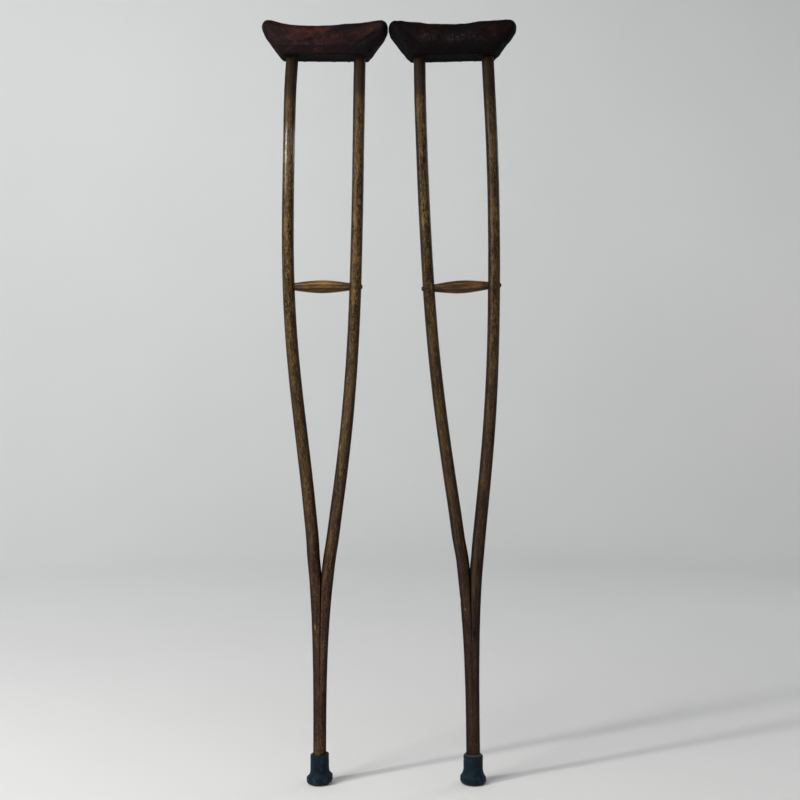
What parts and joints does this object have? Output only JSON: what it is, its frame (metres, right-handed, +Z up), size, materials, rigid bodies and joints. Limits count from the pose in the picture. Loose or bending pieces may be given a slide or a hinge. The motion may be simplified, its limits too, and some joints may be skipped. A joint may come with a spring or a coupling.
{
  "type": "underarm crutches",
  "caption": "Pair of bentwood underarm crutches, each with two bows meeting in one shaft, a spindle hand grip, a leather padded saddle and a flared rubber tip.",
  "frame": {"origin": "centre of the pair's footprint on the ground, midway between the two saddles' outer ends, at the level of the tips' soles", "axes": "+Z up along the crutches, +X across the pair to the right as seen from the front, -Y towards the front, so the bows of each crutch lie side by side in the XZ plane"},
  "size_m": [0.4173, 0.0574, 1.2707],
  "materials": {
    "varnished_wood": "worn dark brown varnish",
    "grip_wood": "hand-worn, thin varnish",
    "core_wood": "plain, unfinished",
    "left_leather": "worn maroon brown",
    "right_leather": "worn near black",
    "stuffing": "felted",
    "blackened_steel": "blackened",
    "plain_steel": "dull",
    "black_rubber": "matt, dusty"
  },
  "bodies": {
    "left_crutch": {"left_crutch_bow_left": "varnished_wood", "left_crutch_bow_right": "varnished_wood", "left_crutch_scarf_rivet": "blackened_steel", "left_crutch_grip_screw_left": "blackened_steel", "left_crutch_grip_screw_right": "blackened_steel", "left_crutch_saddle_core": "core_wood", "left_crutch_saddle_padding": "stuffing", "left_crutch_saddle_cover": "left_leather", "left_crutch_saddle_screws": "plain_steel", "left_crutch_cover_tacks": "blackened_steel", "left_crutch_rubber_tip": "black_rubber", "left_crutch_tip_washer": "plain_steel"},
    "left_grip": {"left_crutch_hand_grip": "grip_wood"},
    "right_crutch": {"right_crutch_bow_left": "varnished_wood", "right_crutch_bow_right": "varnished_wood", "right_crutch_scarf_rivet": "blackened_steel", "right_crutch_grip_screw_left": "blackened_steel", "right_crutch_grip_screw_right": "blackened_steel", "right_crutch_saddle_core": "core_wood", "right_crutch_saddle_padding": "stuffing", "right_crutch_saddle_cover": "right_leather", "right_crutch_saddle_screws": "plain_steel", "right_crutch_cover_tacks": "blackened_steel", "right_crutch_rubber_tip": "black_rubber", "right_crutch_tip_washer": "plain_steel"},
    "right_grip": {"right_crutch_hand_grip": "grip_wood"}
  },
  "joints": [
    {"name": "left_grip_turn", "type": "hinge", "parent": "left_crutch", "child": "left_grip", "pos_m": [-0.1112, 0, 0.8276], "axis": [1, 0, 0], "continuous": true},
    {"name": "right_crutch_lift", "type": "slide", "parent": "left_crutch", "child": "right_crutch", "axis": [0, 0, 1], "range_m": [0, 0.3]},
    {"name": "right_grip_turn", "type": "hinge", "parent": "right_crutch", "child": "right_grip", "pos_m": [0.12083, 0, 0.8274], "axis": [0.9989, 0, 0.0475], "continuous": true}
  ]
}
